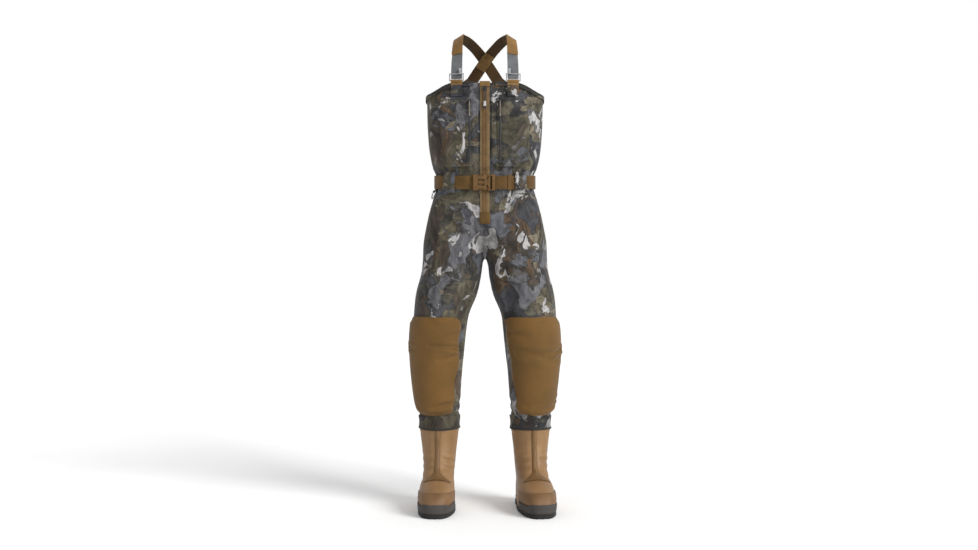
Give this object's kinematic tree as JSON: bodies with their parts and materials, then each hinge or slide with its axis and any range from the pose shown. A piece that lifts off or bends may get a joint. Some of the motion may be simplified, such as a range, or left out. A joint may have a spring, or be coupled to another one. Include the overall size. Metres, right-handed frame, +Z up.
{
  "type": "chest waders",
  "caption": "Chest waders with attached rubber boots: zip-front bib with crossed braces, wading belt, knee pads and chest pockets, standing as if worn.",
  "frame": {"origin": "centre of the bounding box at the soles, on the floor", "axes": "+Z up, toes and zip towards -Y, the viewer's right at +X"},
  "size_m": [0.4824, 0.3276, 1.5232],
  "materials": {
    "camouflage_shell": "matte woven shell cloth, camouflage print",
    "dark_binding": "matte",
    "knee_cloth": "matte hard-wearing woven cloth",
    "boot_rubber": "satin",
    "sole_rubber": "matte",
    "bumper_rubber": "matte",
    "toe_cap_rubber": "satin",
    "rib_rubber": "satin",
    "zip_tape": "matte",
    "zip_coil": "satin",
    "black_plastic": "satin",
    "brown_plastic": "satin",
    "pull_cord": "matte",
    "elastic": "matte ribbed",
    "webbing": "matte woven",
    "tan_webbing": "matte woven",
    "bright_metal": "polished"
  },
  "bodies": {
    "garment": {"bib_front_left": "camouflage_shell", "bib_front_right": "camouflage_shell", "bib_back": "camouflage_shell", "bib_binding": "dark_binding", "hip_front_left": "camouflage_shell", "hip_front_right": "camouflage_shell", "hip_back": "camouflage_shell", "leg_left": "camouflage_shell", "leg_right": "camouflage_shell", "knee_pad_left": "knee_cloth", "knee_pad_right": "knee_cloth", "ankle_cuff_left": "camouflage_shell", "ankle_cuff_right": "camouflage_shell", "boot_left_upper": "boot_rubber", "boot_left_outsole": "sole_rubber", "boot_left_toe_bumper": "bumper_rubber", "boot_left_toe_cap": "toe_cap_rubber", "boot_left_shin_rib": "rib_rubber", "boot_right_upper": "boot_rubber", "boot_right_outsole": "sole_rubber", "boot_right_toe_bumper": "bumper_rubber", "boot_right_toe_cap": "toe_cap_rubber", "boot_right_shin_rib": "rib_rubber", "centre_zip_tape": "zip_tape", "centre_zip_teeth": "zip_coil", "centre_zip_garage": "tan_webbing", "centre_zip_end_patch": "tan_webbing", "chest_pocket_left": "camouflage_shell", "chest_pocket_right": "camouflage_shell", "pocket_zip_tape_left": "zip_tape", "pocket_zip_tape_right": "zip_tape", "belt_webbing": "webbing", "buckle_female": "brown_plastic", "belt_loop_left": "camouflage_shell", "belt_loop_right": "camouflage_shell", "belt_loop_back": "camouflage_shell", "ring_tab": "dark_binding", "brace_elastic_left": "elastic", "brace_elastic_right": "elastic", "brace_webbing_left": "webbing", "brace_webbing_right": "webbing", "brace_cross_patch": "tan_webbing", "brace_anchor_left": "tan_webbing", "brace_anchor_right": "tan_webbing", "brace_frame_left": "bright_metal", "brace_frame_right": "bright_metal"},
    "centre_slider": {"centre_zip_slider": "black_plastic"},
    "centre_pull": {"centre_zip_pull": "pull_cord"},
    "pocket_slider_left": {"pocket_zip_slider_left": "black_plastic"},
    "pocket_pull_left": {"pocket_zip_pull_left": "pull_cord"},
    "pocket_slider_right": {"pocket_zip_slider_right": "black_plastic"},
    "pocket_pull_right": {"pocket_zip_pull_right": "pull_cord"},
    "male_buckle": {"buckle_male": "brown_plastic"},
    "upper_prong": {"buckle_prong_upper": "brown_plastic"},
    "lower_prong": {"buckle_prong_lower": "brown_plastic"},
    "keeper": {"belt_keeper": "webbing"},
    "hip_ring": {"ring": "bright_metal"},
    "catch_left": {"brace_catch_left": "bright_metal"},
    "catch_right": {"brace_catch_right": "bright_metal"}
  },
  "joints": [
    {"name": "centre_zip_slide", "type": "slide", "parent": "garment", "child": "centre_slider", "axis": [0, 0, -1], "range_m": [0, 0.19]},
    {"name": "centre_pull_swing", "type": "hinge", "parent": "centre_slider", "child": "centre_pull", "pos_m": [0, -0.09465, 1.331], "axis": [-1, 0, 0], "range_deg": [0, 150]},
    {"name": "pocket_zip_slide_left", "type": "slide", "parent": "garment", "child": "pocket_slider_left", "axis": [0, 0, -1], "range_m": [0, 0.165]},
    {"name": "pocket_pull_swing_left", "type": "hinge", "parent": "pocket_slider_left", "child": "pocket_pull_left", "pos_m": [-0.048, -0.09546, 1.291], "axis": [-1, 0, 0], "range_deg": [0, 150]},
    {"name": "pocket_zip_slide_right", "type": "slide", "parent": "garment", "child": "pocket_slider_right", "axis": [0, 0, -1], "range_m": [0, 0.165]},
    {"name": "pocket_pull_swing_right", "type": "hinge", "parent": "pocket_slider_right", "child": "pocket_pull_right", "pos_m": [0.048, -0.09546, 1.291], "axis": [-1, 0, 0], "range_deg": [0, 150]},
    {"name": "buckle_release", "type": "slide", "parent": "garment", "child": "male_buckle", "axis": [1, 0, 0], "range_m": [0, 0.03]},
    {"name": "upper_prong_squeeze", "type": "hinge", "parent": "male_buckle", "child": "upper_prong", "pos_m": [0.0095, -0.08917, 1.054], "axis": [0, -1, 0], "range_deg": [0, 8]},
    {"name": "lower_prong_squeeze", "type": "hinge", "parent": "male_buckle", "child": "lower_prong", "pos_m": [0.0095, -0.08917, 1.02], "axis": [0, 1, 0], "range_deg": [0, 8]},
    {"name": "keeper_slide", "type": "slide", "parent": "garment", "child": "keeper", "axis": [0.9618, 0.2738, 0], "range_m": [-0.006, 0.005]},
    {"name": "ring_swing", "type": "hinge", "parent": "garment", "child": "hip_ring", "pos_m": [-0.16008, -0.01834, 1.0137], "axis": [-0.3055, 0.9522, 0], "range_deg": [0, 90]},
    {"name": "catch_flip_left", "type": "hinge", "parent": "garment", "child": "catch_left", "pos_m": [-0.07668, -0.09287, 1.3765], "axis": [0.9889, -0.1486, 0], "range_deg": [0, 110]},
    {"name": "catch_flip_right", "type": "hinge", "parent": "garment", "child": "catch_right", "pos_m": [0.07668, -0.09287, 1.3765], "axis": [0.9889, 0.1486, 0], "range_deg": [0, 110]}
  ]
}
